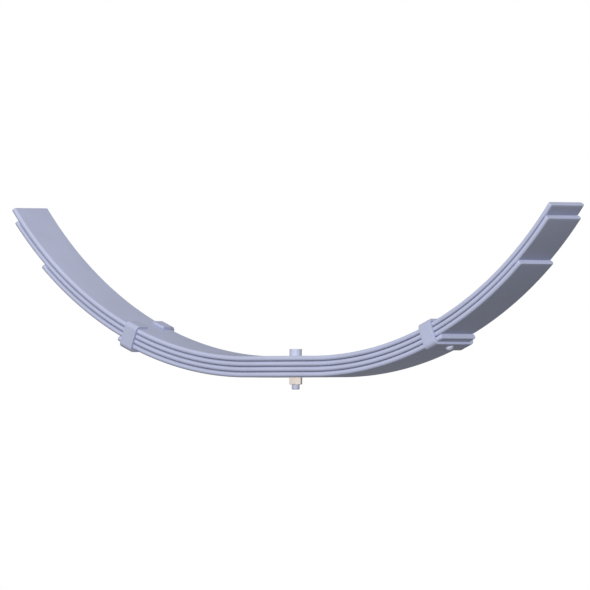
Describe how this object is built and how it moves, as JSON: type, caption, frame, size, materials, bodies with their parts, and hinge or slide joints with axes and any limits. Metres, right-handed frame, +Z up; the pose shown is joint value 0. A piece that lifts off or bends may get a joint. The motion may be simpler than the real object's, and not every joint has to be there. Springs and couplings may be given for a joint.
{
  "type": "leaf spring",
  "caption": "Cambered leaf spring with graduated leaves, flat slipper ends, a centre bolt and riveted rebound clips.",
  "frame": {"origin": "on the centre bolt's axis, at the upper face of the main leaf, where the bolt's head stands", "axes": "+X along the spring towards the right arm, +Y across the leaves, +Z up through the bolt's head, towards the side that the arms curve to"},
  "size_m": [1.1086, 0.085, 0.2769],
  "materials": {
    "leaf": "satin blue-grey paint on hot-formed spring steel",
    "bolt": "satin blue-grey paint on steel",
    "nut": "cream zinc plating",
    "clip": "satin blue-grey paint on bent steel strap",
    "rivet": "satin blue-grey paint on steel"
  },
  "bodies": {
    "centre_pack": {"main_leaf_centre": "leaf", "second_leaf_centre": "leaf", "third_leaf_centre": "leaf", "fourth_leaf_centre": "leaf", "centre_bolt": "bolt", "centre_nut": "nut"},
    "left_arm": {"main_leaf_left_arm": "leaf", "second_leaf_left_arm": "leaf", "third_leaf_left_arm": "leaf", "fourth_leaf_left_arm": "leaf", "left_clip": "clip", "left_clip_rivet": "rivet"},
    "right_arm": {"main_leaf_right_arm": "leaf", "second_leaf_right_arm": "leaf", "third_leaf_right_arm": "leaf", "fourth_leaf_right_arm": "leaf", "right_clip": "clip", "right_clip_rivet": "rivet"}
  },
  "joints": [
    {"name": "left_arm_flex", "type": "hinge", "parent": "centre_pack", "child": "left_arm", "pos_m": [-0.18803, 0, -0.02089], "axis": [0, -1, 0], "range_deg": [0, 15], "stiffness_Nm_per_rad": 8650},
    {"name": "right_arm_flex", "type": "hinge", "parent": "centre_pack", "child": "right_arm", "pos_m": [0.18803, 0, -0.02089], "axis": [0, 1, 0], "range_deg": [0, 15], "stiffness_Nm_per_rad": 8650}
  ]
}
